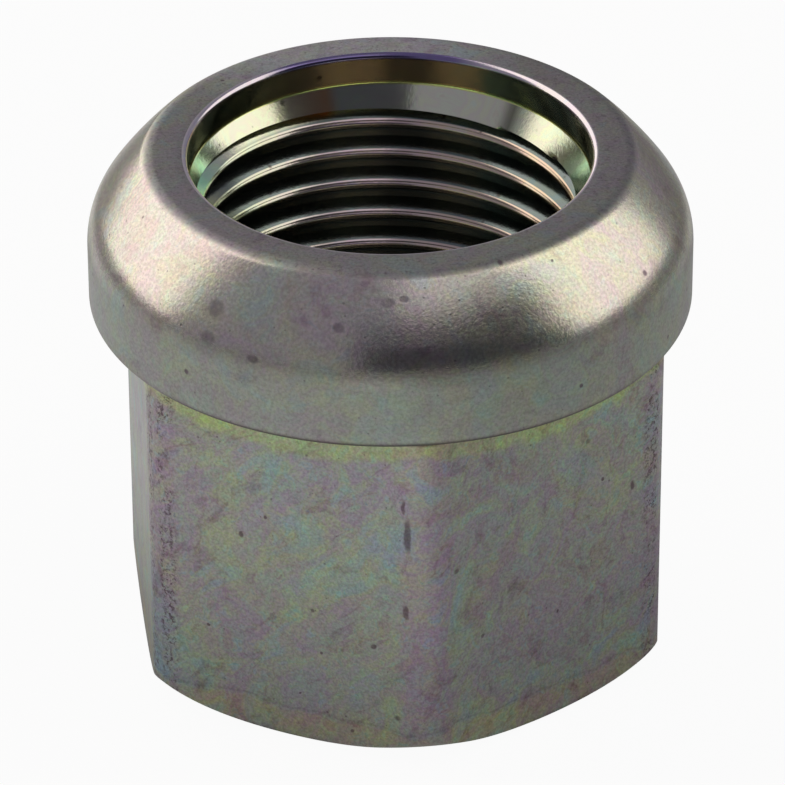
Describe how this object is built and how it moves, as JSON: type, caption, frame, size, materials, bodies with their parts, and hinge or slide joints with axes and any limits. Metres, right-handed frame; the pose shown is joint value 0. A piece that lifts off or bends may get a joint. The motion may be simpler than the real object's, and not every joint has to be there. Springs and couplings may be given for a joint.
{
  "type": "lug nut",
  "caption": "Open-ended lug nut with a ball seat: a hexagon body below a round collar, with a threaded bore through it.",
  "frame": {"origin": "centre of the end face of the hexagon, which the nut stands on", "axes": "+Z along the bore axis, from the hexagon end to the ball seat; two corners of the hexagon are along +Y and -Y"},
  "size_m": [0.024, 0.024, 0.0216],
  "materials": {
    "zinc_steel": "satin zinc plate with an iridescent passivation"
  },
  "bodies": {
    "root": {"lug_nut": "zinc_steel"}
  },
  "joints": []
}
